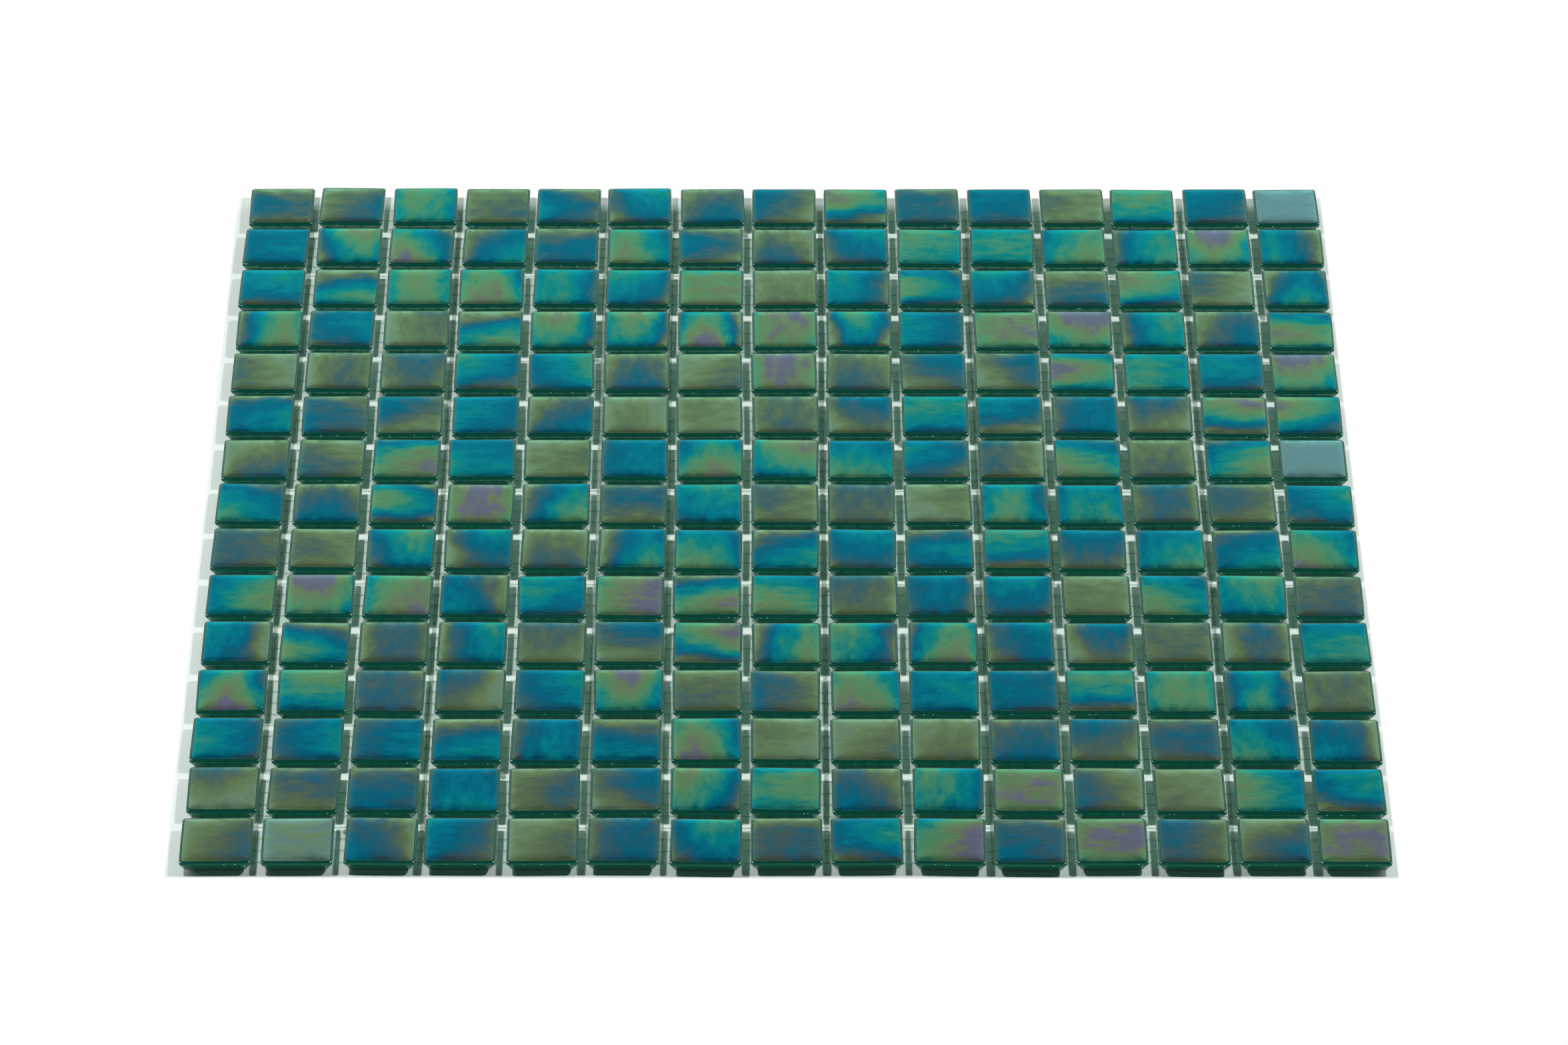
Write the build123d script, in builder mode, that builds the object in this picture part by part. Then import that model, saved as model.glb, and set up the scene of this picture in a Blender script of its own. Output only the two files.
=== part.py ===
from build123d import *
import math
import os
import random

# Mosaic sheet: pressed glass tesserae in even rows, bonded to a net of coated threads.
# It lies flat on the net, +Z up, with its origin at the middle of its underside.

# Driving dimensions, in millimetres and degrees
tiles_per_side = 15
tile_width = 19.4
joint_width = 2.57
tile_thickness = 4.0
arris_drop = 0.4
arris_inset = 0.6
band_height = 0.8
skirt_inset = 1.7
corner_cut = 1.2
net_pitch = 5.0
flat_thread_width = 1.2
thread_width = 0.5
thread_thickness = 0.25
thread_stub = 0.5
net_margin = 1.0
net_shift_x = 1.0
net_shift_y = 1.5

# How far hand laying leaves a tessera off the even grid
lay_shift = 0.3
lay_turn = 1.0
lay_seed = 15

# Sizes that follow from them
tile_pitch = tile_width + joint_width
skirt_height = tile_thickness - arris_drop - band_height
net_height = 2 * thread_thickness
outer_centre = (tiles_per_side - 1) / 2 * tile_pitch

# The net stops short of the outer feet
net_limit = outer_centre + tile_width / 2 - skirt_inset - net_margin


def grid_place(index):
    """Distance from the middle of the sheet to the row or column with this index."""
    return index * tile_pitch - outer_centre


def laid_locations(row, laying):
    """Places of the tesserae in one row, each a little off the grid and a little turned."""
    places = []
    for column in range(tiles_per_side):
        x = grid_place(column) + laying.uniform(-lay_shift, lay_shift)
        y = -grid_place(row) + laying.uniform(-lay_shift, lay_shift)
        turn = laying.uniform(-lay_turn, lay_turn)
        places.append(Location((x, y, net_height), (0, 0, turn)))
    return places


def thread_places(shift, width):
    """Places of the threads that run one way: a net pitch apart, off the middle by the shift."""
    reach = net_limit - thread_stub - width / 2
    first = math.ceil((-reach - shift) / net_pitch)
    last = math.floor((reach - shift) / net_pitch)
    return [shift + step * net_pitch for step in range(first, last + 1)]


def thread_run(crossed_places, crossed_width):
    """Middle and length of a thread that ends a stub beyond the outer threads that it crosses."""
    middle = (crossed_places[0] + crossed_places[-1]) / 2
    length = crossed_places[-1] - crossed_places[0] + crossed_width + 2 * thread_stub
    return middle, length


# One tessera: an upright band, a bevelled skirt below it and a blunted arris above it
with BuildPart() as tessera:
    with BuildSketch() as outline:
        Rectangle(tile_width, tile_width)
        chamfer(outline.vertices(), corner_cut)
    extrude(amount=tile_thickness)
    face = tessera.faces().sort_by(Axis.Z)[-1]
    chamfer(face.edges(), arris_inset, arris_drop, reference=face)
    foot = tessera.faces().sort_by(Axis.Z)[0]
    chamfer(foot.edges(), skirt_inset, skirt_height, reference=foot)

os.makedirs("parts", exist_ok=True)

# The rows run from the far side of the sheet to the near side
laying = random.Random(lay_seed)
for row in range(tiles_per_side):
    with BuildPart() as tesserae_row:
        with Locations(*laid_locations(row, laying)):
            add(tessera.part)
    name = f"tesserae_row_{row + 1:02d}"
    tesserae_row.part.label = name
    export_step(tesserae_row.part, f"parts/{name}.step")

lengthwise_x = thread_places(net_shift_x, flat_thread_width)
crosswise_y = thread_places(net_shift_y, thread_width)
lengthwise_middle, lengthwise_length = thread_run(crosswise_y, thread_width)
crosswise_middle, crosswise_length = thread_run(lengthwise_x, flat_thread_width)

# The lower threads of the net are flat and run from the near side to the far side
with BuildPart() as net_threads_lengthwise:
    with BuildSketch(Plane.XY):
        with Locations(*[(x, lengthwise_middle) for x in lengthwise_x]):
            Rectangle(flat_thread_width, lengthwise_length)
    extrude(amount=thread_thickness)
net_threads_lengthwise.part.label = "net_threads_lengthwise"
export_step(net_threads_lengthwise.part, "parts/net_threads_lengthwise.step")

# The upper threads cross them, and the feet of the tesserae stand on these
with BuildPart() as net_threads_crosswise:
    with BuildSketch(Plane.XY.offset(thread_thickness)):
        with Locations(*[(crosswise_middle, y) for y in crosswise_y]):
            Rectangle(crosswise_length, thread_width)
    extrude(amount=thread_thickness)
net_threads_crosswise.part.label = "net_threads_crosswise"
export_step(net_threads_crosswise.part, "parts/net_threads_crosswise.step")
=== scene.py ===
"""Mosaic sheet: pressed glass tesserae with an iridescent film, bonded to a net of coated threads.

Lengths are in millimetres until a mesh is written, and each mesh is in metres on the sheet's own
frame: +Z up out of the glass faces, +X along a row, +Y towards row 1, the origin under the middle.
"""

import logging
import math
import random
from collections.abc import Sequence
from dataclasses import dataclass
from enum import Enum

import bpy
import numpy as np
from mathutils import Matrix, Vector


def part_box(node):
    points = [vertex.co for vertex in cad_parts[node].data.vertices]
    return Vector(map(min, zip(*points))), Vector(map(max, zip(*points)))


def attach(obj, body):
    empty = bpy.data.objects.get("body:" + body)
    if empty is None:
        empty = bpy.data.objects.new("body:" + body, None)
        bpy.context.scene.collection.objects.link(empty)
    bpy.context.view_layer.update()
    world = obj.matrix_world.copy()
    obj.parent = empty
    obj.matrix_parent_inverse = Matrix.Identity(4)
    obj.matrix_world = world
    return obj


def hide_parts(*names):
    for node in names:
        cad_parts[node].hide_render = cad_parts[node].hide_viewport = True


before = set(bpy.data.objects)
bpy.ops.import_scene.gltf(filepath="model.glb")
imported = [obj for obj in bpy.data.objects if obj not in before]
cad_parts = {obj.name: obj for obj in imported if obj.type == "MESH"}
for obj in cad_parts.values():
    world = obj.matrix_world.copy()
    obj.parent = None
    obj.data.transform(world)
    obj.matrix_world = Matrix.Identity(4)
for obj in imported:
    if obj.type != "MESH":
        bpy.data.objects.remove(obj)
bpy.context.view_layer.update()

LOG = logging.getLogger("mosaic_sheet")

MM = 0.001
ROW_COUNT = 15
COLUMN_COUNT = 15
BODY = "root"
LENGTHWISE_NODE = "net_threads_lengthwise"
CROSSWISE_NODE = "net_threads_crosswise"

Socket = bpy.types.NodeSocket
Feed = Socket | float | Sequence[float]
Feeds = dict[str | int, Feed]
Colour = tuple[float, float, float, float]
Span = tuple[float, float]

BLACK: Colour = (0.0, 0.0, 0.0, 1.0)
WHITE: Colour = (1.0, 1.0, 1.0, 1.0)


def row_node(row: int) -> str:
    """Name of the node that holds this row of tesserae, counted from 1 at the far side."""
    return f"tesserae_row_{row:02d}"


def display(red: float, green: float, blue: float) -> Colour:
    """Scene-linear colour of a display colour.

    Args:
        red: Red from 0 to 255.
        green: Green from 0 to 255.
        blue: Blue from 0 to 255.

    Returns:
        The linear colour with an alpha of 1.
    """
    shares = np.array([red, green, blue]) / 255
    low = shares / 12.92
    high = ((shares + 0.055) / 1.055) ** 2.4
    linear = np.where(shares <= 0.04045, low, high)
    return (float(linear[0]), float(linear[1]), float(linear[2]), 1.0)


def make_piece(
    name: str, points: np.ndarray, faces: list[list[int]], smooth: bool = True
) -> bpy.types.Object:
    """Puts points and faces into a new mesh object at the origin.

    Args:
        name: Name of the piece.
        points: Places of the vertices in millimetres, one row each.
        faces: Vertex numbers of each face, anticlockwise seen from outside.
        smooth: Whether the faces are shaded smooth.

    Returns:
        The new object, linked to the scene.
    """
    mesh = bpy.data.meshes.new(name)
    mesh.from_pydata((points * MM).tolist(), [], faces)
    mesh.polygons.foreach_set("use_smooth", np.full(len(mesh.polygons), smooth))
    mesh.validate()
    mesh.update()
    piece = bpy.data.objects.new(name, mesh)
    bpy.context.scene.collection.objects.link(piece)
    LOG.info("%s: %d points, %d faces", name, len(mesh.vertices), len(mesh.polygons))
    return piece


def node_points(node: str) -> np.ndarray:
    """Corners of a node's solids in millimetres, each once."""
    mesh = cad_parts[node].data
    points = np.empty(len(mesh.vertices) * 3)
    mesh.vertices.foreach_get("co", points)
    return np.unique(np.round(points.reshape(-1, 3) / MM, 3), axis=0)


def add_attribute(piece: bpy.types.Object, name: str, values: np.ndarray) -> None:
    """Stores one number or one vector for each vertex of a piece.

    Args:
        piece: The mesh object.
        name: Name of the attribute, as its material reads it.
        values: One number for each vertex, or one row of three.
    """
    is_vector = values.ndim == 2
    kind = "FLOAT_VECTOR" if is_vector else "FLOAT"
    attribute = piece.data.attributes.new(name, kind, "POINT")
    attribute.data.foreach_set("vector" if is_vector else "value", values.astype(np.float32).ravel())


def ring_faces(rings: int, around: int) -> list[list[int]]:
    """Faces of a closed skin of rings with a pole at each end.

    The first vertex is the first pole, then come the rings in order, then the last pole.

    Args:
        rings: Number of rings.
        around: Number of points in each ring.

    Returns:
        The faces, outward where the rings run anticlockwise and rise from the first pole.
    """
    first, last = 0, rings * around + 1
    here = np.arange(around)
    ahead = (here + 1) % around
    starts = 1 + np.arange(rings - 1)[:, None] * around
    quads = np.stack(
        [starts + here, starts + ahead, starts + around + ahead, starts + around + here], axis=-1
    )
    top = 1 + (rings - 1) * around
    faces = quads.reshape(-1, 4).tolist()
    faces += np.stack([np.full(around, first), 1 + ahead, 1 + here], axis=-1).tolist()
    faces += np.stack([np.full(around, last), top + here, top + ahead], axis=-1).tolist()
    return faces


def repeat_faces(faces: list[list[int]], stride: int, count: int) -> list[list[int]]:
    """The same faces for a number of copies whose vertices follow each other.

    Args:
        faces: Faces of the first copy.
        stride: Number of vertices in a copy.
        count: Number of copies.

    Returns:
        The faces of all the copies.
    """
    return [[number + copy * stride for number in face] for copy in range(count) for face in faces]


class Wiring:
    """Adds nodes to one shader tree and joins them, so that a formula reads as calls."""

    def __init__(self, tree: bpy.types.NodeTree) -> None:
        """Works on the given tree."""
        self.tree = tree

    def feed(self, socket: Socket, value: Feed) -> None:
        """Joins a socket to another, or sets its own value.

        Args:
            socket: The input.
            value: An output to join, or a number, vector or colour.
        """
        if isinstance(value, Socket):
            self.tree.links.new(value, socket)
        else:
            socket.default_value = value

    def join(self, node: bpy.types.Node, feeds: Feeds) -> None:
        """Feeds the inputs of a node, by their name or number."""
        for name, value in feeds.items():
            self.feed(node.inputs[name], value)

    def node(self, kind: str, feeds: Feeds | None = None, **settings: object) -> bpy.types.Node:
        """Adds one node.

        Args:
            kind: The node's type, without its ShaderNode prefix.
            feeds: What goes into its inputs, by their name or number.
            **settings: Values of the node's own properties.

        Returns:
            The new node.
        """
        made = self.tree.nodes.new(f"ShaderNode{kind}")
        for name, value in settings.items():
            setattr(made, name, value)
        self.join(made, feeds or {})
        return made

    def maths(self, operation: str, *feeds: Feed, clamp: bool = False) -> Socket:
        """One step of arithmetic on numbers.

        Args:
            operation: Name of the Math node's operation.
            *feeds: Its inputs in order.
            clamp: Whether the result is kept from 0 to 1.

        Returns:
            The result.
        """
        made = self.node("Math", dict(enumerate(feeds)), operation=operation, use_clamp=clamp)
        return made.outputs[0]

    def step(self, value: Feed, low: float, high: float) -> Socket:
        """A smooth rise from 0 at the low value to 1 at the high one."""
        feeds = {"Value": value, "From Min": low, "From Max": high}
        made = self.node("MapRange", feeds, interpolation_type="SMOOTHSTEP")
        return made.outputs["Result"]

    def fade(self, value: Feed, low: float, high: float) -> Socket:
        """A smooth fall from 1 at the low value to 0 at the high one."""
        return self.maths("SUBTRACT", 1.0, self.step(value, low, high))

    def parts(self, place: Feed) -> bpy.types.bpy_prop_collection:
        """The X, Y and Z of a vector."""
        return self.node("SeparateXYZ", {0: place}).outputs

    def blend(self, share: Feed, first: Feed, second: Feed) -> Socket:
        """A colour between the first, at a share of 0, and the second, at 1."""
        made = self.node("Mix", {"Factor": share, "A": first, "B": second}, data_type="RGBA")
        return made.outputs["Result"]

    def attribute(self, name: str, kind: str = "Vector") -> Socket:
        """A vertex attribute of the piece, as a Vector or as a number, Fac."""
        return self.node("Attribute", attribute_name=name).outputs[kind]

    def noise(self, place: Feed, scale: Feed, detail: float, roughness: float) -> Socket:
        """Even-tempered noise about 0.

        Args:
            place: Where it is read.
            scale: Its lumps in one unit of length.
            detail: Number of finer layers.
            roughness: How much the finer layers show.

        Returns:
            The noise, mostly from -0.25 to 0.25.
        """
        feeds = {"Vector": place, "Scale": scale, "Detail": detail, "Roughness": roughness}
        made = self.node("TexNoise", feeds)
        return self.maths("SUBTRACT", made.outputs["Fac"], 0.5)


class Group:
    """One shader node group with named inputs and outputs, built once and placed in materials."""

    FLOAT = "NodeSocketFloat"
    VECTOR = "NodeSocketVector"
    COLOUR = "NodeSocketColor"

    def __init__(self, name: str, takes: dict[str, str], gives: dict[str, str]) -> None:
        """Makes the empty group.

        Args:
            name: Name of the group.
            takes: Socket type of each input by its name.
            gives: Socket type of each output by its name.
        """
        self.tree = bpy.data.node_groups.new(name, "ShaderNodeTree")
        for label, kind in takes.items():
            self.tree.interface.new_socket(label, in_out="INPUT", socket_type=kind)
        for label, kind in gives.items():
            self.tree.interface.new_socket(label, in_out="OUTPUT", socket_type=kind)
        self.wiring = Wiring(self.tree)
        self.takes = self.tree.nodes.new("NodeGroupInput").outputs
        self.gives = self.tree.nodes.new("NodeGroupOutput").inputs

    def put_out(self, **results: Feed) -> None:
        """Joins each result to the output of its name."""
        for label, value in results.items():
            self.wiring.feed(self.gives[label], value)

    def place(self, wiring: Wiring, feeds: Feeds) -> bpy.types.bpy_prop_collection:
        """Puts the group into a tree.

        Args:
            wiring: The tree's wiring.
            feeds: What goes into the group's inputs.

        Returns:
            The placed group's outputs.
        """
        return wiring.node("Group", feeds, node_tree=self.tree).outputs


def new_finish(name: str) -> tuple[bpy.types.Material, Wiring, bpy.types.Node]:
    """Makes a material.

    Args:
        name: Its name.

    Returns:
        The material, its wiring and its Principled shader.
    """
    made = bpy.data.materials.new(name)
    made.use_nodes = True
    return made, Wiring(made.node_tree), made.node_tree.nodes["Principled BSDF"]


def streak_group() -> Group:
    """Streaks that run along the first axis of a place and are fine across the second.

    The place is squeezed along the streaks and set off by a seed, and noise is read there.

    Returns:
        The group, whose Streak is about 0.
    """
    group = Group(
        "streaks",
        {"Place": Group.VECTOR, "Seed": Group.FLOAT, "Across": Group.FLOAT, "Stretch": Group.FLOAT},
        {"Streak": Group.FLOAT},
    )
    seed_spacing = 3.7
    wiring = group.wiring
    parts = wiring.parts(group.takes["Place"])
    along = wiring.maths("DIVIDE", parts["X"], group.takes["Stretch"])
    seeded = wiring.maths("MULTIPLY_ADD", group.takes["Seed"], seed_spacing, parts["Z"])
    place = wiring.node("CombineXYZ", {"X": along, "Y": parts["Y"], "Z": seeded}).outputs[0]
    group.put_out(Streak=wiring.noise(place, group.takes["Across"], detail=3.0, roughness=0.6))
    return group


@dataclass(frozen=True)
class FilmStop:
    """One colour of the film, at its order of thickness from 0, bare glass, to 1."""

    order: float
    red: float
    green: float
    blue: float

    def colour(self) -> Colour:
        """The stop's linear colour."""
        return display(self.red, self.green, self.blue)


@dataclass(frozen=True)
class Streaks:
    """A layer of streaks: lumps in a millimetre, how far they are drawn out, and their strength."""

    lumps: float
    stretch: float
    strength: float


@dataclass(frozen=True)
class FilmedGlass:
    """Finish of the tesserae: green glass whose face carries an iridescent film.

    The film's colour follows its thickness. The thickness is a hump across the face, tilted along it,
    lower towards the sides and broken by blotches and streaks. Painted shade darkens the foot and
    the arris, and painted highlights and glints sit on the face's rim, its corners and bubbles at the
    girdle.
    """

    half_width: float
    skirt_rise: float
    girdle_rise: float
    arris_rise: float
    face_rise: float
    stops: tuple[FilmStop, ...] = (
        FilmStop(0.00, 104, 142, 144),
        FilmStop(0.07, 113, 137, 103),
        FilmStop(0.15, 104, 124, 86),
        FilmStop(0.23, 92, 108, 84),
        FilmStop(0.30, 76, 97, 97),
        FilmStop(0.36, 59, 94, 109),
        FilmStop(0.42, 38, 95, 119),
        FilmStop(0.48, 14, 97, 125),
        FilmStop(0.53, 0, 104, 131),
        FilmStop(0.58, 0, 114, 137),
        FilmStop(0.63, 0, 125, 138),
        FilmStop(0.69, 28, 131, 126),
        FilmStop(0.76, 65, 138, 114),
        FilmStop(0.83, 89, 141, 101),
        FilmStop(0.90, 104, 133, 93),
        FilmStop(0.95, 110, 122, 97),
        FilmStop(1.00, 104, 103, 125),
    )
    # Painted shade: the glass is painted darker and greyer towards the foot.
    foot: Colour = display(12, 36, 32)
    skirt: Colour = display(2, 56, 42)
    band: Colour = display(2, 62, 46)
    # Painted shade: the arris is painted darker than the band below it.
    arris: Colour = display(2, 44, 34)
    # Painted glints on bubbles at the girdle, shown in both colour and glow.
    bubble_glint: Colour = display(205, 235, 225)
    # Lighter film along the face's edge, with a painted highlight on it.
    rim: Colour = display(112, 170, 120)
    # Painted glint at each corner of the face.
    corner_glint: Colour = display(235, 245, 240)
    band_glow: Colour = (0.0, 0.04, 0.023, 1.0)
    foot_glow: Colour = (0.006, 0.022, 0.017, 1.0)
    arris_glow: Colour = (0.0, 0.028, 0.018, 1.0)
    end_lip: float = 0.05
    lip_power: float = 4.0
    sway: Streaks = Streaks(0.09, 1.3, 1.1)
    blotch: Streaks = Streaks(0.3, 1.8, 0.35)
    fine: Streaks = Streaks(2.2, 6.0, 0.05)
    speckle: Streaks = Streaks(3.5, 1.2, 0.025)
    bare_peaks: Span = (0.02, 0.1)
    thinnest: float = 0.06
    blotch_ripple: float = 1.6
    fine_ripple: float = 0.6
    ripple_height: float = 0.00003
    rim_tone_and_sheen_strength: float = 0.12
    metal: float = 0.92
    side_roughness: float = 0.12
    film_roughness: float = 0.3
    ripple_roughness: float = 0.25
    bubble_glint_lumps: float = 1.1
    bubble_glint_radii: Span = (0.09, 0.17)
    bubble_glint_picks: Span = (0.45, 0.5)
    corner_glint_spreads: Span = (0.895, 0.91)

    def film_group(self, streaks: Group) -> Group:
        """Order of the film at a place on the face.

        Across the streaks the order is the peak less a fall that grows with the square of the
        distance from the hump's crest, less a lip at each side. Along them it rises by a tilt and
        has a small lip at each end. Noise moves the crest and the order.

        Args:
            streaks: The group that makes streaks.

        Returns:
            The group.
        """
        group = Group(
            "film_order",
            {"Place": Group.VECTOR, "Hump": Group.VECTOR, "Slant": Group.VECTOR, "Seed": Group.FLOAT},
            {"Order": Group.FLOAT, "Ripple": Group.FLOAT},
        )
        wiring = group.wiring
        seed = group.takes["Seed"]
        parts = wiring.parts(group.takes["Place"])
        hump = wiring.parts(group.takes["Hump"])
        slant = wiring.parts(group.takes["Slant"])
        along = wiring.maths("DIVIDE", parts["X"], self.half_width)
        across = wiring.maths("DIVIDE", parts["Y"], self.half_width)
        flat = wiring.node("CombineXYZ", {"X": parts["X"], "Y": parts["Y"], "Z": seed}).outputs[0]

        def streak(layer: Streaks) -> Socket:
            """The streaks of one layer, at full strength."""
            feeds = {"Place": flat, "Seed": seed, "Across": layer.lumps, "Stretch": layer.stretch}
            return streaks.place(wiring, feeds)["Streak"]

        blotch, fine = streak(self.blotch), streak(self.fine)
        swayed = wiring.maths("MULTIPLY_ADD", streak(self.sway), self.sway.strength, across)
        crest = wiring.maths("SUBTRACT", swayed, hump["Z"])
        reach = wiring.maths("ADD", wiring.maths("ABSOLUTE", hump["Z"]), 1.0)
        share = wiring.maths("DIVIDE", crest, reach)
        fall = wiring.maths("MULTIPLY", wiring.maths("MULTIPLY", share, share), hump["Y"])
        order = wiring.maths("SUBTRACT", hump["X"], fall)
        order = wiring.maths("MULTIPLY_ADD", along, slant["Z"], order)
        sides = (
            (across, -1.0, slant["X"]),
            (across, 1.0, slant["Y"]),
            (along, 1.0, self.end_lip),
            (along, -1.0, self.end_lip),
        )
        for place, side, depth in sides:
            near = wiring.maths("MULTIPLY", place, side, clamp=True)
            lip = wiring.maths("MULTIPLY", wiring.maths("POWER", near, self.lip_power), depth)
            order = wiring.maths("SUBTRACT", order, lip)
        textures = ((blotch, self.blotch), (fine, self.fine), (streak(self.speckle), self.speckle))
        for texture, layer in textures:
            order = wiring.maths("MULTIPLY_ADD", texture, layer.strength, order)

        coated = wiring.step(hump["X"], *self.bare_peaks)
        floor = wiring.maths("MULTIPLY", coated, self.thinnest)
        order = wiring.maths("MULTIPLY", wiring.maths("MAXIMUM", order, floor), coated)
        ripple = wiring.maths("MULTIPLY", blotch, self.blotch_ripple)
        ripple = wiring.maths("MULTIPLY_ADD", fine, self.fine_ripple, ripple)
        group.put_out(Order=order, Ripple=ripple)
        return group

    def side_group(self) -> Group:
        """Colour of the glass below the face, by its rise along the tessera's profile, with painted
        shade at the foot and the arris and painted glints on bubbles at the girdle.

        Returns:
            The group: its Colour and its inner Glow.
        """
        group = Group(
            "glass_side",
            {"Place": Group.VECTOR, "Seed": Group.FLOAT},
            {"Colour": Group.COLOUR, "Glow": Group.COLOUR},
        )
        seed_spacing = 11.0
        wiring = group.wiring
        rise = wiring.parts(group.takes["Place"])["Z"]
        # Painted shade: dark at the foot, rising to the skirt's colour at the girdle.
        colour = wiring.blend(wiring.step(rise, 0.0, self.girdle_rise), self.foot, self.skirt)
        band_start = wiring.step(rise, self.girdle_rise - 0.1, self.girdle_rise + 0.2)
        colour = wiring.blend(band_start, colour, self.band)
        # Painted shade: the arris is painted darker than the band.
        arris_start = wiring.step(rise, self.arris_rise - 0.15, self.arris_rise + 0.1)
        colour = wiring.blend(arris_start, colour, self.arris)

        above = wiring.step(rise, self.skirt_rise + 0.8, self.girdle_rise - 0.6)
        glow = wiring.blend(above, self.foot_glow, self.band_glow)
        glow = wiring.blend(arris_start, glow, self.arris_glow)
        off_back = wiring.step(rise, self.skirt_rise - 0.1, self.skirt_rise + 0.1)
        glow = wiring.blend(off_back, BLACK, glow)

        # Painted glints: white dots on chosen bubbles along the girdle, in both the colour and the
        # glow.
        offset = wiring.maths("MULTIPLY", group.takes["Seed"], seed_spacing)
        offset = wiring.node("CombineXYZ", {"Z": offset}).outputs[0]
        spot = wiring.node("VectorMath", {0: group.takes["Place"], 1: offset}, operation="ADD")
        feeds = {"Vector": spot.outputs[0], "Scale": self.bubble_glint_lumps}
        cells = wiring.node("TexVoronoi", feeds).outputs
        dot = wiring.fade(cells["Distance"], *self.bubble_glint_radii)
        chosen = wiring.step(wiring.parts(cells["Color"])["X"], *self.bubble_glint_picks)
        off_girdle = wiring.maths("ABSOLUTE", wiring.maths("SUBTRACT", rise, self.girdle_rise + 0.1))
        at_girdle = wiring.fade(off_girdle, 0.15, 0.3)
        bubble_glints = wiring.maths("MULTIPLY", wiring.maths("MULTIPLY", dot, chosen), at_girdle)
        glow = wiring.blend(bubble_glints, glow, self.bubble_glint)
        group.put_out(Colour=wiring.blend(bubble_glints, colour, self.bubble_glint), Glow=glow)
        return group

    def material(self, streaks: Group) -> bpy.types.Material:
        """Builds the finish.

        Args:
            streaks: The group that makes streaks.

        Returns:
            The material, which reads the attributes that TesseraRow stores.
        """
        made, wiring, shader = new_finish("iridescent_glass")
        place = wiring.attribute("place")
        feeds = {"Place": place, "Seed": wiring.attribute("seed", "Fac")}
        side = self.side_group().place(wiring, feeds)
        feeds |= {"Hump": wiring.attribute("hump"), "Slant": wiring.attribute("slant")}
        film = self.film_group(streaks).place(wiring, feeds)

        ramp = wiring.node("ValToRGB", {0: film["Order"]})
        elements = ramp.color_ramp.elements
        elements.remove(elements[1])
        elements[0].position = self.stops[0].order
        elements[0].color = self.stops[0].colour()
        for stop in self.stops[1:]:
            element = elements.new(stop.order)
            element.color = stop.colour()

        parts = wiring.parts(place)
        rise = parts["Z"]
        spread = wiring.maths("MULTIPLY", parts["X"], parts["Y"])
        spread = wiring.maths("DIVIDE", wiring.maths("ABSOLUTE", spread), self.half_width**2)
        # Painted glint: a near-white spot on the arris at each corner of the face.
        up_arris = wiring.step(rise, self.arris_rise + 0.2, self.arris_rise + 0.3)
        corner_glint_share = wiring.maths("MULTIPLY", wiring.step(spread, *self.corner_glint_spreads), up_arris)
        on_face = wiring.step(rise, self.face_rise - 0.2, self.face_rise - 0.1)
        # A lighter film with a painted highlight along the face's edge.
        at_rim_tone_and_sheen = wiring.fade(rise, self.face_rise - 0.1, self.face_rise + 0.35)
        rim_tone_and_sheen_share = wiring.maths("MULTIPLY", at_rim_tone_and_sheen, self.rim_tone_and_sheen_strength)
        film_colour = wiring.blend(rim_tone_and_sheen_share, ramp.outputs["Color"], self.rim)
        side_colour = wiring.blend(corner_glint_share, side["Colour"], self.corner_glint)
        rough = wiring.maths("MULTIPLY_ADD", film["Ripple"], self.ripple_roughness, self.film_roughness)
        rougher = wiring.maths("SUBTRACT", rough, self.side_roughness)
        height = wiring.maths("MULTIPLY", film["Ripple"], on_face)
        bump = wiring.node("Bump", {"Height": height, "Distance": self.ripple_height, "Strength": 1.0})
        looks = {
            "Base Color": wiring.blend(on_face, side_colour, film_colour),
            "Metallic": wiring.maths("MULTIPLY", on_face, self.metal),
            "Roughness": wiring.maths("MULTIPLY_ADD", rougher, on_face, self.side_roughness),
            "Emission Color": wiring.blend(on_face, side["Glow"], BLACK),
            "Emission Strength": 1.0,
            "IOR": 1.5,
            "Specular IOR Level": 0.35,
            "Specular Tint": (0.3, 0.95, 0.8, 1.0),
            "Normal": bump.outputs["Normal"],
        }
        wiring.join(shader, looks)
        return made


@dataclass(frozen=True)
class CoatedThread:
    """Finish of the net: fine glass-fibre yarn under a clear coat, its fibres running lengthwise."""

    pale: Colour = display(214, 228, 218)
    dark: Colour = display(176, 196, 182)
    cover: float = 0.32
    fibre_height: float = 0.00006

    def material(self, streaks: Group) -> bpy.types.Material:
        """Builds the finish.

        Args:
            streaks: The group that makes streaks.

        Returns:
            The material, which reads the attribute that ThreadLayer stores.
        """
        made, wiring, shader = new_finish("coated_thread")
        feeds = {"Place": wiring.attribute("yarn"), "Seed": 0.0, "Across": 5.0, "Stretch": 6.0}
        fibre = streaks.place(wiring, feeds)["Streak"]
        share = wiring.maths("MULTIPLY_ADD", fibre, 2.0, 0.5, clamp=True)
        bump = wiring.node("Bump", {"Height": fibre, "Distance": self.fibre_height, "Strength": 1.0})
        looks = {
            "Base Color": wiring.blend(share, self.dark, self.pale),
            "Roughness": wiring.maths("MULTIPLY_ADD", fibre, 0.3, 0.45),
            "Alpha": wiring.maths("MULTIPLY_ADD", fibre, 0.3, self.cover, clamp=True),
            "Normal": bump.outputs["Normal"],
        }
        wiring.join(shader, looks)
        return made


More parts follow.
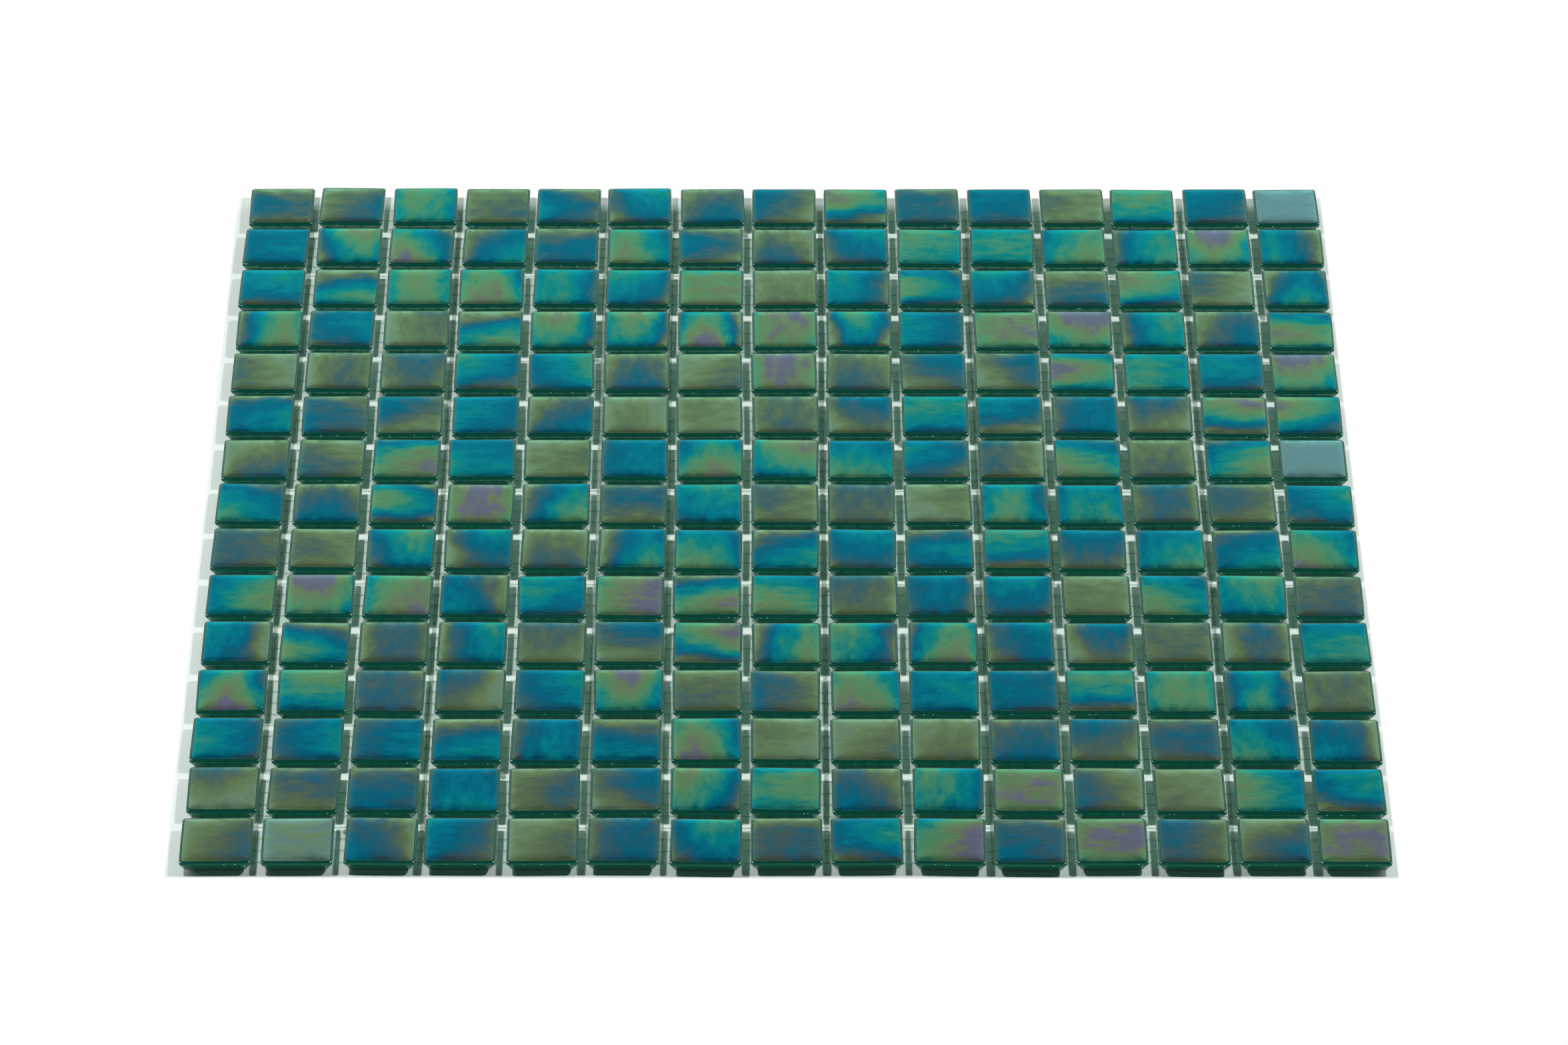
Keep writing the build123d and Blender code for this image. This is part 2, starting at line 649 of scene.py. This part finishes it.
@dataclass(frozen=True)
class ClearGlue:
    """Finish of the dried glue: clear and glossy, with a painted green reflection of the glass beside
    it.
    """

    pale: Colour = display(222, 238, 230)
    # Painted reflection: green from the glass beside the bead.
    reflected_green: Colour = display(170, 205, 188)
    cover: float = 0.45
    cloud_lumps: float = 700.0

    def material(self) -> bpy.types.Material:
        """Builds the finish."""
        made, wiring, shader = new_finish("clear_glue")
        place = wiring.node("TexCoord").outputs["Object"]
        cloud = wiring.noise(place, self.cloud_lumps, detail=2.0, roughness=0.5)
        share = wiring.maths("MULTIPLY_ADD", cloud, 1.5, 0.3, clamp=True)
        looks = {
            "Base Color": wiring.blend(share, self.reflected_green, self.pale),
            "Roughness": wiring.maths("MULTIPLY_ADD", cloud, 0.1, 0.08),
            "Alpha": wiring.maths("MULTIPLY_ADD", cloud, 0.6, self.cover, clamp=True),
            "IOR": 1.46,
        }
        wiring.join(shader, looks)
        return made


class Grain(Enum):
    """Which way the streaks of a film run on the sheet."""

    ALONG_ROW = 0
    ALONG_COLUMN = 1


class Coat(Enum):
    """How the film of a tessera came out."""

    USUAL = "usual"
    BARE = "bare"
    FAINT = "faint"
    HALF_BARE = "half bare"
    ROSY = "rosy"
    PURPLE = "purple"


# The few tesserae whose film stands out, by row and column
ODD_COATS = {
    (1, 15): Coat.BARE,
    (7, 15): Coat.BARE,
    (15, 2): Coat.FAINT,
    (8, 10): Coat.HALF_BARE,
    (4, 8): Coat.ROSY,
    (4, 11): Coat.ROSY,
    (5, 8): Coat.PURPLE,
    (8, 4): Coat.PURPLE,
    (15, 12): Coat.PURPLE,
    (15, 15): Coat.PURPLE,
}


@dataclass(frozen=True)
class Film:
    """Film of one tessera: its grain, the hump of its thickness, its thinner lips and its tilt."""

    grain: Grain
    peak: float
    fall: float
    crest: float
    low_lip: float
    high_lip: float
    tilt: float
    seed: float

    @staticmethod
    def drawn(coat: Coat, draw: random.Random) -> "Film":
        """Draws a film.

        Args:
            coat: How the film came out.
            draw: The source of the random draws, which gives each film as many numbers.

        Returns:
            The film.
        """
        grain = draw.choice((Grain.ALONG_ROW, Grain.ALONG_COLUMN))
        peak = draw.uniform(0.16, 0.97)
        share = draw.uniform(0.0, 1.0)
        crest = draw.uniform(-1.3, 1.3)
        low_lip = draw.choice((0.03, 0.08, 0.16)) * draw.uniform(0.6, 1.2)
        high_lip = draw.choice((0.03, 0.08, 0.16)) * draw.uniform(0.6, 1.2)
        tilt = draw.uniform(-0.18, 0.18)
        seed = draw.uniform(0.0, 40.0)
        match coat:
            case Coat.BARE:
                peak, share = 0.0, 0.0
            case Coat.FAINT:
                peak, share, tilt = 0.07, 0.0, 0.0
            case Coat.HALF_BARE:
                grain, peak, share, crest = Grain.ALONG_ROW, 0.16, 1.0, 0.7
            case Coat.ROSY:
                peak, share, crest, tilt = 0.95, 0.2, 0.1, 0.05
            case Coat.PURPLE:
                peak, share, crest, tilt = 1.0, 0.12, 0.0, 0.03
        return Film(grain, peak, peak * share, crest, low_lip, high_lip, tilt, seed)


@dataclass(frozen=True)
class TesseraForm:
    """Pressed form of one tessera, on its own axes with the underside of its ribs at height 0."""

    half_width: float
    thickness: float
    squareness: float = 30.0
    steps_to_corner: int = 3
    corner_crowding: float = 2.6
    rib_depth: float = 0.3
    foot_inset: float = 1.7
    skirt_inset: float = 1.2
    skirt_foot: float = 0.45
    girdle_height: float = 2.8
    arris_inset: float = 0.8
    arris_drop: float = 0.38
    arris_steps: int = 3
    crown: float = 0.22
    shoulder: float = 9.0
    rim_width: float = 0.5
    rib_count: int = 6
    rib_width: float = 1.1

    def outline(self) -> np.ndarray:
        """Outline of a square with rounded corners, one unit to its sides.

        It is a superellipse: the sum of a high power of x and of y is 1. Its points crowd towards
        the corners.

        Returns:
            The points, anticlockwise, one row each.
        """
        share = np.arange(self.steps_to_corner) / self.steps_to_corner
        slope = 1 - (1 - share) ** self.corner_crowding
        octant = np.arctan(slope)
        quadrant = np.concatenate([octant, [math.pi / 4], math.pi / 2 - octant[:0:-1]])
        angle = (quadrant + np.arange(4)[:, None] * math.pi / 2).ravel()
        cosine, sine = np.cos(angle), np.sin(angle)
        power = self.squareness
        radius = (np.abs(cosine) ** power + np.abs(sine) ** power) ** (-1 / power)
        return np.stack([radius * cosine, radius * sine], axis=1)

    def profile(self) -> np.ndarray:
        """Section from the edge of the sunk back to near the middle of the face.

        A level rim runs round the back. The skirt turns in fast at its foot and rises straight to
        the girdle, a band stands above it, and a quarter of an ellipse makes the arris. The face
        falls to the arris by a high power of the distance from its middle.

        Returns:
            Rows of inset from the widest outline and height.
        """
        turn = np.linspace(0, math.pi / 2, self.arris_steps + 1)
        edge = self.thickness - self.crown
        arris_inset = self.arris_inset * (1 - np.cos(turn))
        arris_height = edge - self.arris_drop * (1 - np.sin(turn))
        face_inset = np.array([1.15, 1.7, 2.6, 4.6])
        lower = np.array(
            [
                (self.foot_inset + self.rim_width + 0.15, self.rib_depth),
                (self.foot_inset + self.rim_width, 0.0),
                (self.foot_inset + 0.08, 0.0),
                (self.foot_inset - 0.03, 0.08),
                (self.skirt_inset, self.skirt_foot),
                (0.14, self.girdle_height - 0.2),
                (0.03, self.girdle_height),
                (0.0, self.girdle_height + 0.2),
            ]
        )
        arris = np.stack([arris_inset, arris_height], axis=1)
        face = np.stack([face_inset, self.face_height(face_inset)], axis=1)
        return np.concatenate([lower, arris, face])

    def face_height(self, inset: np.ndarray) -> np.ndarray:
        """Height of the face at a distance from the side: nearly level, then falling to the edge."""
        share = (inset - self.arris_inset) / (self.half_width - self.arris_inset)
        return self.thickness - self.crown * (1 - share) ** self.shoulder

    def rises(self) -> np.ndarray:
        """Length along the section from its start to each ring."""
        section = self.profile()
        steps = np.linalg.norm(np.diff(section, axis=0), axis=1)
        return np.concatenate([[0.0], np.cumsum(steps)])

    def rise_at(self, height: float) -> float:
        """Length along the section from its start to this height on the side."""
        girdle_ring = 6
        heights = self.profile()[girdle_ring:, 1]
        return float(np.interp(height, heights, self.rises()[girdle_ring:]))

    def face_rise(self) -> float:
        """Length along the section from its start to the edge of the face."""
        return self.rise_at(self.thickness - self.crown)

    def skirt_rise(self) -> float:
        """Length along the section from its start to the lower edge of the skirt."""
        rim_rings = 3
        return float(self.rises()[rim_rings])

    def skin(self) -> np.ndarray:
        """Vertices of the glass: x, y, height and rise, with a pole in the middle of each end."""
        section = self.profile()
        reach = self.half_width - section[:, 0]
        outline = self.outline()
        flat = reach[:, None, None] * outline
        height = np.broadcast_to(section[:, 1, None, None], (*flat.shape[:2], 1))
        rise = np.broadcast_to(self.rises()[:, None, None], (*flat.shape[:2], 1))
        rings = np.concatenate([flat, height, rise], axis=2).reshape(-1, 4)
        back = np.array([[0.0, 0.0, self.rib_depth, 0.0]])
        top = np.array([[0.0, 0.0, self.thickness, self.rises()[-1] + reach[-1]]])
        return np.concatenate([back, rings, top])

    def skin_faces(self) -> list[list[int]]:
        """Faces of the glass skin."""
        return ring_faces(len(self.profile()), len(self.outline()))

    def ribs(self) -> np.ndarray:
        """Vertices of the ribs of the back: bars of trapezoid section, eight points each."""
        half_length = self.half_width - self.foot_inset - self.rim_width
        spread = half_length - self.rib_width
        middle = np.linspace(-spread, spread, self.rib_count)
        levels = ((self.rib_width / 3, 0.0), (self.rib_width / 2, 2 * self.rib_depth))
        ends = ((-1, -1), (1, -1), (1, 1), (-1, 1))
        corners = np.array([(x * side, y * half_length, z) for side, z in levels for x, y in ends])
        bars = np.repeat(corners[None], self.rib_count, axis=0)
        bars[:, :, 0] += middle[:, None]
        rise = np.zeros((*bars.shape[:2], 1))
        return np.concatenate([bars, rise], axis=2).reshape(-1, 4)

    def rib_faces(self) -> list[list[int]]:
        """Faces of the ribs."""
        bar = [[0, 3, 2, 1], [4, 5, 6, 7], [0, 1, 5, 4], [1, 2, 6, 5], [2, 3, 7, 6], [3, 0, 4, 7]]
        return repeat_faces(bar, 8, self.rib_count)


@dataclass
class TesseraRow:
    """One row of tesserae, which stands for the node of the same row."""

    row: int
    form: TesseraForm
    films: list[Film]
    pitch: float
    lean: float = 0.004
    wander: float = 0.004

    def places(self) -> np.ndarray:
        """Reads where the tesserae of the row lie.

        A tessera's place is the middle of its box. Its turn comes from the fourth power of its
        points as complex numbers, whose sum points along the diagonals of a square.

        Returns:
            Rows of x, y and turn, from left to right.
        """
        points = node_points(row_node(self.row))
        column = np.rint(points[:, 0] / self.pitch + (COLUMN_COUNT - 1) / 2).astype(int)
        laid = []
        for number in range(COLUMN_COUNT):
            own = points[column == number, :2]
            middle = (own.min(axis=0) + own.max(axis=0)) / 2
            spokes = (own - middle) @ np.array([1, 1j])
            laid.append((*middle, np.angle(-np.sum(spokes**4)) / 4))
        return np.array(laid)

    def shaped(self, skin: np.ndarray, draw: np.random.Generator) -> np.ndarray:
        """Gives each tessera of the row its own small faults.

        The face leans by a small slope that fades out at the foot, and the outline wanders as a
        low wave round the middle.

        Args:
            skin: Vertices of the form: x, y, height and rise.
            draw: Source of the random draws.

        Returns:
            The vertices of every tessera, first by tessera.
        """
        count = COLUMN_COUNT
        tiles = np.repeat(skin[None], count, axis=0)
        slope = draw.uniform(-self.lean, self.lean, (2, count, 1))
        phase = draw.uniform(0, 2 * math.pi, (2, count, 1))
        x, y, height = tiles[:, :, 0], tiles[:, :, 1], tiles[:, :, 2]
        around = np.arctan2(y, x)
        wave = np.cos(2 * around + phase[0]) + np.cos(3 * around + phase[1])
        scale = 1 + self.wander / 2 * wave
        share = height / self.form.thickness
        tiles[:, :, 2] = height + share * (slope[0] * x + slope[1] * y)
        tiles[:, :, 0] = x * scale
        tiles[:, :, 1] = y * scale
        return tiles

    def laid(self, tiles: np.ndarray, foot_height: float) -> np.ndarray:
        """Turns each tessera and moves it to its place.

        Args:
            tiles: Vertices of every tessera about its own middle.
            foot_height: Height that the feet stand at.

        Returns:
            The vertices on the sheet, one row each.
        """
        place = self.places()
        turn = place[:, 2, None]
        x, y = tiles[:, :, 0], tiles[:, :, 1]
        on_x = place[:, 0, None] + x * np.cos(turn) - y * np.sin(turn)
        on_y = place[:, 1, None] + x * np.sin(turn) + y * np.cos(turn)
        on_z = tiles[:, :, 2] + foot_height
        return np.stack([on_x, on_y, on_z], axis=2).reshape(-1, 3)

    def grain_places(self, tiles: np.ndarray) -> np.ndarray:
        """Place of each vertex in its film: along the streaks, across them, and the rise."""
        swapped = np.array([film.grain is Grain.ALONG_COLUMN for film in self.films])[:, None]
        along = np.where(swapped, tiles[:, :, 1], tiles[:, :, 0])
        across = np.where(swapped, tiles[:, :, 0], tiles[:, :, 1])
        return np.stack([along, across, tiles[:, :, 3]], axis=2).reshape(-1, 3)

    def build(self, finish: bpy.types.Material, draw: np.random.Generator) -> bpy.types.Object:
        """Makes the row's piece and dresses it.

        Args:
            finish: The glass finish.
            draw: Source of the random draws.

        Returns:
            The piece.
        """
        skin, ribs = self.form.skin(), self.form.ribs()
        tiles = self.shaped(np.concatenate([skin, ribs]), draw)
        low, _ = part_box(row_node(self.row))
        points = self.laid(tiles, low[2] / MM)
        tile_faces = self.form.skin_faces()
        tile_faces += [[number + len(skin) for number in face] for face in self.form.rib_faces()]
        faces = repeat_faces(tile_faces, tiles.shape[1], COLUMN_COUNT)
        piece = make_piece(f"glass_row_{self.row:02d}", points, faces)
        add_attribute(piece, "place", self.grain_places(tiles))
        film_values = {
            "hump": [(film.peak, film.fall, film.crest) for film in self.films],
            "slant": [(film.low_lip, film.high_lip, film.tilt) for film in self.films],
            "seed": [film.seed for film in self.films],
        }
        for name, values in film_values.items():
            add_attribute(piece, name, np.repeat(values, tiles.shape[1], axis=0))
        piece.data.materials.append(finish)
        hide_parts(row_node(self.row))
        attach(piece, BODY)
        return piece


@dataclass(frozen=True)
class ThreadLines:
    """Where the threads of one layer lie, read from the layer's node."""

    places: np.ndarray
    start: float
    end: float
    width: float

    @staticmethod
    def read(node: str, lengthwise: bool) -> "ThreadLines":
        """Reads the layer's node.

        Args:
            node: Name of the node.
            lengthwise: Whether its threads run from the near side to the far side.

        Returns:
            The middles of the threads, in order, and their common ends and width.
        """
        points = node_points(node)
        run, side = (1, 0) if lengthwise else (0, 1)
        edges = np.unique(points[:, side]).reshape(-1, 2)
        along = points[:, run]
        width = float(edges[0, 1] - edges[0, 0])
        return ThreadLines(edges.mean(axis=1), float(along.min()), float(along.max()), width)


@dataclass
class ThreadLayer:
    """The threads of the net that run one way, each crimped over and under those that cross it."""

    name: str
    node: str
    lengthwise: bool
    crossed: ThreadLines
    thickness: float
    crimp: float
    middle: float = 0.25
    sway: float = 0.12
    sway_length: float = 31.0
    swell: float = 0.12
    steps_per_mesh: int = 3
    sides: int = 6

    def rings(self, lines: ThreadLines) -> np.ndarray:
        """Places along a thread where its section is set: the ends and even steps between them."""
        crossings = self.crossed.places
        count = (len(crossings) - 1) * self.steps_per_mesh + 1
        between = np.linspace(crossings[0], crossings[-1], count)
        return np.concatenate([[lines.start], between, [lines.end]])

    def skins(self, lines: ThreadLines, draw: np.random.Generator) -> np.ndarray:
        """Vertices of the threads, as if they ran along the second axis.

        A thread's line is straight but for a slow sway to the side, and it rises and falls as a
        cosine with one half wave to each mesh. An ellipse carried along it makes the skin.

        Args:
            lines: Where the threads lie.
            draw: Source of the random draws.

        Returns:
            The vertices by thread: a pole, the rings and the other pole.
        """
        along = self.rings(lines)
        crossings = self.crossed.places
        pitch = crossings[1] - crossings[0]
        count = len(lines.places)
        number = np.arange(count)[:, None] + (0 if self.lengthwise else 1)
        phase = math.pi * ((along - crossings[0]) / pitch + number)
        height = self.middle + self.crimp * np.cos(phase)
        start = draw.uniform(0, 2 * math.pi, (count, 1))
        aside = lines.places[:, None] + self.sway * np.sin(along / self.sway_length + start)
        half_width = lines.width / 2 * (1 + self.swell * np.cos(2 * phase))
        angle = np.arange(self.sides) / self.sides * 2 * math.pi
        across = aside[:, :, None] + half_width[:, :, None] * np.cos(angle)
        above = height[:, :, None] + self.thickness / 2 * np.sin(angle)
        length = np.broadcast_to(along[:, None], across.shape)
        rings = np.stack([across, length, above], axis=3).reshape(count, -1, 3)
        middles = np.stack([aside, np.broadcast_to(along, aside.shape), height], axis=2)
        return np.concatenate([middles[:, :1], rings, middles[:, -1:]], axis=1)

    def build(self, finish: bpy.types.Material, draw: np.random.Generator) -> bpy.types.Object:
        """Makes the layer's piece and dresses it.

        Args:
            finish: The thread finish.
            draw: Source of the random draws.

        Returns:
            The piece.
        """
        lines = ThreadLines.read(self.node, self.lengthwise)
        threads = self.skins(lines, draw)
        ring_count = len(self.rings(lines))
        faces = repeat_faces(ring_faces(ring_count, self.sides), threads.shape[1], threads.shape[0])
        points = threads.reshape(-1, 3)
        yarn = points[:, [1, 0, 2]]
        if self.lengthwise:
            faces = [face[::-1] for face in faces]
        else:
            points = yarn
        piece = make_piece(self.name, points, faces)
        add_attribute(piece, "yarn", yarn)
        piece.data.materials.append(finish)
        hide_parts(self.node)
        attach(piece, BODY)
        return piece


@dataclass
class GlueBeads:
    """Beads of clear glue that swelled up beside the net in a few joints."""

    pitch: float
    joint_width: float
    count: int = 26
    radius: float = 0.85
    height: float = 1.3
    base_height: float = 0.05
    oval: float = 0.18
    lobes: float = 0.08
    rings: int = 6
    around: int = 12

    def spots(self, draw: np.random.Generator) -> np.ndarray:
        """Draws where the beads stand: near a crossing of joints, against one side of the joint."""
        number = draw.integers(1, COLUMN_COUNT, (2, self.count)) - COLUMN_COUNT / 2
        side = draw.choice((-1, 1), self.count) * draw.uniform(0.3, 0.45, self.count)
        x = number[0] * self.pitch + side * self.joint_width
        y = number[1] * self.pitch + draw.uniform(-3.5, 1.5, self.count)
        return np.stack([x, y], axis=1)

    def build(self, finish: bpy.types.Material, draw: np.random.Generator) -> bpy.types.Object:
        """Makes the beads and dresses them.

        Each is half an ellipsoid on a level base, its radius swelled by two low waves round it.

        Args:
            finish: The glue finish.
            draw: Source of the random draws.

        Returns:
            The piece.
        """
        rise = np.linspace(0, math.pi / 2, self.rings, endpoint=False)
        turn = np.arange(self.around) / self.around * 2 * math.pi
        size = draw.uniform(0.6, 1.2, (self.count, 1, 1))
        phase = draw.uniform(0, 2 * math.pi, (self.count, 1, 1))
        wave = 1 + self.oval * np.cos(2 * turn + phase) + self.lobes * np.cos(3 * turn - phase)
        reach = self.radius * size * wave * np.cos(rise)[:, None]
        lift = self.height * size * np.sin(rise)[:, None] + 0 * reach
        rings = np.stack([reach * np.cos(turn), reach * np.sin(turn), lift], axis=3)
        rings = rings.reshape(self.count, -1, 3)
        base = np.zeros((self.count, 1, 3))
        top = base.copy()
        top[:, 0, 2] = self.height * size[:, 0, 0]
        points = np.concatenate([base, rings, top], axis=1)
        points[:, :, :2] += self.spots(draw)[:, None]
        points[:, :, 2] += self.base_height
        faces = repeat_faces(ring_faces(self.rings, self.around), points.shape[1], self.count)
        piece = make_piece("glue_beads", points.reshape(-1, 3), faces)
        piece.data.materials.append(finish)
        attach(piece, BODY)
        return piece


@dataclass
class Studio:
    """Floor, lamps, world and camera round the sheet."""

    floor_side: float = 12.0
    paper: Colour = (0.86, 0.88, 0.87, 1.0)
    seen_paper: Colour = (1.13, 1.24, 1.18, 1.0)
    shadow_left: float = 0.1676
    shadow_right: float = 0.165
    shadow_ends: float = 0.1647
    shadow_blur: float = 0.0003
    passed_light: Colour = (0.012, 0.046, 0.026, 1.0)
    passed_edge: Span = (0.158, 0.1635)
    fill: float = 3.0
    fill_side: Span = (-0.1, 0.5)
    fill_height: Span = (0.3, 0.7)
    horizon: Span = (0.05, 0.35)
    low_lift: float = 1.5
    low_sky: Span = (0.36, 0.53)
    left_lift: float = 0.1
    left_sky: Span = (0.09, 0.22)
    zenith_drop: float = -0.8
    zenith: Span = (0.59, 0.72)
    lamp_share: float = 0.27
    lamp_spread: float = 0.09
    left_lamp: tuple[float, float, float] = (-0.376, -0.05, 0.65)
    right_lamp: tuple[float, float, float] = (0.492, -0.05, 0.776)
    camera_place: tuple[float, float, float] = (-0.0079, -1.607, 1.185)
    camera_forward: tuple[float, float, float] = (0.0038, 0.8042, -0.5943)
    camera_right: tuple[float, float, float] = (1.0, -0.0024, 0.0032)
    lens: float = 158.88
    sensor: float = 36.0

    def lamp(self, name: str, place: Sequence[float]) -> None:
        """Adds a small soft lamp that shines on the middle of the sheet.

        Its power makes a white level surface there as bright as lamp_share of full white.

        Args:
            name: Name of the lamp.
            place: Where it stands, in metres.
        """
        data = bpy.data.lights.new(name, "AREA")
        data.shape = "DISK"
        distance = Vector(place).length
        data.size = self.lamp_spread * distance
        slant = place[2] / distance
        data.energy = self.lamp_share * math.pi**2 * distance**2 / slant
        lamp = bpy.data.objects.new(name, data)
        lamp.location = place
        lamp.rotation_euler = (-Vector(place)).to_track_quat("-Z", "Y").to_euler()
        bpy.context.scene.collection.objects.link(lamp)

    def camera(self) -> None:
        """Adds the camera at the photograph's viewing angle."""
        data = bpy.data.cameras.new("camera")
        data.lens = self.lens
        data.sensor_width = self.sensor
        data.clip_end = 100.0
        camera = bpy.data.objects.new("camera", data)
        forward = Vector(self.camera_forward).normalized()
        right = Vector(self.camera_right)
        right = (right - right.dot(forward) * forward).normalized()
        up = right.cross(forward)
        turn = Matrix((right, up, -forward)).transposed().to_4x4()
        camera.matrix_world = Matrix.Translation(self.camera_place) @ turn
        bpy.context.scene.collection.objects.link(camera)
        bpy.context.scene.camera = camera

    @staticmethod
    def seen(wiring: Wiring) -> Socket:
        """1 for a ray from the camera or one that gloss or clear glue sends on."""
        path = wiring.node("LightPath").outputs
        seen = wiring.maths("MAXIMUM", path["Is Camera Ray"], path["Is Glossy Ray"])
        return wiring.maths("MAXIMUM", seen, path["Is Transmission Ray"])

    def floor(self) -> None:
        """Adds the pale floor, white away from the sheet and lit faintly green under it."""
        half_side = self.floor_side / 2 / MM
        corners = np.array([(-1, -1, 0), (1, -1, 0), (1, 1, 0), (-1, 1, 0)]) * half_side
        floor = make_piece("floor", corners, [[0, 1, 2, 3]], smooth=False)
        made, wiring, shader = new_finish("pale_floor")
        made.node_tree.nodes.remove(shader)
        seen = self.seen(wiring)
        paper = wiring.node("BsdfDiffuse", {"Color": wiring.blend(seen, self.paper, self.seen_paper)})
        parts = wiring.parts(wiring.node("TexCoord").outputs["Object"])
        wide = wiring.maths("ABSOLUTE", parts["X"])
        long = wiring.maths("ABSOLUTE", parts["Y"])
        reach = wiring.maths("MAXIMUM", wide, long)
        under = wiring.fade(reach, *self.passed_edge)
        passed = wiring.node("Emission", {"Color": self.passed_light, "Strength": under})
        near = wiring.node("AddShader", {0: paper.outputs[0], 1: passed.outputs[0]})
        edges = (
            (parts["X"], self.shadow_right),
            (wiring.maths("MULTIPLY", parts["X"], -1.0), self.shadow_left),
            (long, self.shadow_ends),
        )
        away = 0.0
        for place, edge in edges:
            past = wiring.step(place, edge - self.shadow_blur, edge + self.shadow_blur)
            away = wiring.maths("MAXIMUM", away, past)
        away = wiring.maths("MULTIPLY", away, seen)
        white = wiring.node("Emission", {"Color": WHITE, "Strength": 1.0})
        mixed = wiring.node("MixShader", {0: away, 1: near.outputs[0], 2: white.outputs[0]})
        output = made.node_tree.nodes["Material Output"]
        wiring.feed(output.inputs["Surface"], mixed.outputs[0])
        floor.data.materials.append(made)

    def world(self) -> None:
        """Shows white to the camera, a graded sky to gloss and a low fill behind to dull faces."""
        world = bpy.data.worlds.new("studio")
        world.use_nodes = True
        bpy.context.scene.world = world
        wiring = Wiring(world.node_tree)
        background = world.node_tree.nodes["Background"]
        towards = wiring.parts(wiring.node("TexCoord").outputs["Generated"])
        path = wiring.node("LightPath").outputs
        low = wiring.fade(towards["Z"], *self.low_sky)
        high = wiring.step(towards["Z"], *self.zenith)
        soft = wiring.maths("MULTIPLY_ADD", low, self.low_lift, 1.0)
        soft = wiring.maths("MULTIPLY_ADD", high, self.zenith_drop, soft)
        to_left = wiring.step(wiring.maths("MULTIPLY", towards["X"], -1.0), *self.left_sky)
        soft = wiring.maths("MULTIPLY_ADD", to_left, self.left_lift, soft)
        soft = wiring.maths("MULTIPLY", soft, wiring.step(towards["Z"], *self.horizon))
        gloss = wiring.maths("MULTIPLY", path["Is Glossy Ray"], soft)
        straight = wiring.maths("MAXIMUM", path["Is Camera Ray"], path["Is Transmission Ray"])
        from_behind = wiring.maths("MULTIPLY", wiring.step(towards["Y"], *self.fill_side), self.fill)
        near_floor = wiring.fade(towards["Z"], *self.fill_height)
        low_fill = wiring.maths("MULTIPLY", from_behind, near_floor)
        diffuse = wiring.maths("MULTIPLY", path["Is Diffuse Ray"], low_fill)
        strength = wiring.maths("MAXIMUM", wiring.maths("MAXIMUM", gloss, straight), diffuse)
        wiring.join(background, {"Color": WHITE, "Strength": strength})

    def build(self) -> None:
        """Sets up the whole studio."""
        bpy.context.scene.view_settings.view_transform = "Standard"
        self.world()
        self.floor()
        self.lamp("left_lamp", self.left_lamp)
        self.lamp("right_lamp", self.right_lamp)
        self.camera()


@dataclass
class MosaicSheet:
    """The whole sheet: fifteen rows of tesserae on their net."""

    film_seed: int = 4
    form_seed: int = 9
    half_width: float = 9.7

    def tessera_form(self) -> TesseraForm:
        """The form of a tessera, as thick as the first row of the frame."""
        low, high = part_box(row_node(1))
        thickness = (high[2] - low[2]) / MM
        return TesseraForm(self.half_width, thickness)

    def pitch(self) -> float:
        """Distance from one row to the next, from the first and the last row of the frame."""
        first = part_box(row_node(1))
        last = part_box(row_node(ROW_COUNT))
        span = (first[0][1] + first[1][1] - last[0][1] - last[1][1]) / 2
        return span / (ROW_COUNT - 1) / MM

    def build(self) -> None:
        """Makes every piece of the sheet."""
        form = self.tessera_form()
        pitch = self.pitch()
        streaks = streak_group()
        glass = FilmedGlass(
            half_width=form.half_width,
            skirt_rise=form.skirt_rise(),
            girdle_rise=form.rise_at(form.girdle_height),
            arris_rise=form.rise_at(form.thickness - form.crown - form.arris_drop),
            face_rise=form.face_rise(),
        )
        glass_finish = glass.material(streaks)
        film_draw = random.Random(self.film_seed)
        form_draw = np.random.default_rng(self.form_seed)
        for row in range(1, ROW_COUNT + 1):
            coats = [ODD_COATS.get((row, column), Coat.USUAL) for column in range(1, COLUMN_COUNT + 1)]
            films = [Film.drawn(coat, film_draw) for coat in coats]
            TesseraRow(row, form, films, pitch).build(glass_finish, form_draw)
        thread_finish = CoatedThread().material(streaks)
        lengthwise = ThreadLines.read(LENGTHWISE_NODE, True)
        crosswise = ThreadLines.read(CROSSWISE_NODE, False)
        layers = (
            ThreadLayer("net_lengthwise", LENGTHWISE_NODE, True, crosswise, thickness=0.18, crimp=0.1),
            ThreadLayer("net_crosswise", CROSSWISE_NODE, False, lengthwise, thickness=0.24, crimp=0.12),
        )
        for layer in layers:
            layer.build(thread_finish, form_draw)
        joint_width = pitch - 2 * form.half_width
        GlueBeads(pitch, joint_width).build(ClearGlue().material(), form_draw)


def main() -> None:
    """Builds the studio and the sheet."""
    logging.basicConfig(level=logging.INFO, format="%(name)s: %(message)s")
    Studio().build()
    MosaicSheet().build()


if __name__ == "__main__":
    main()
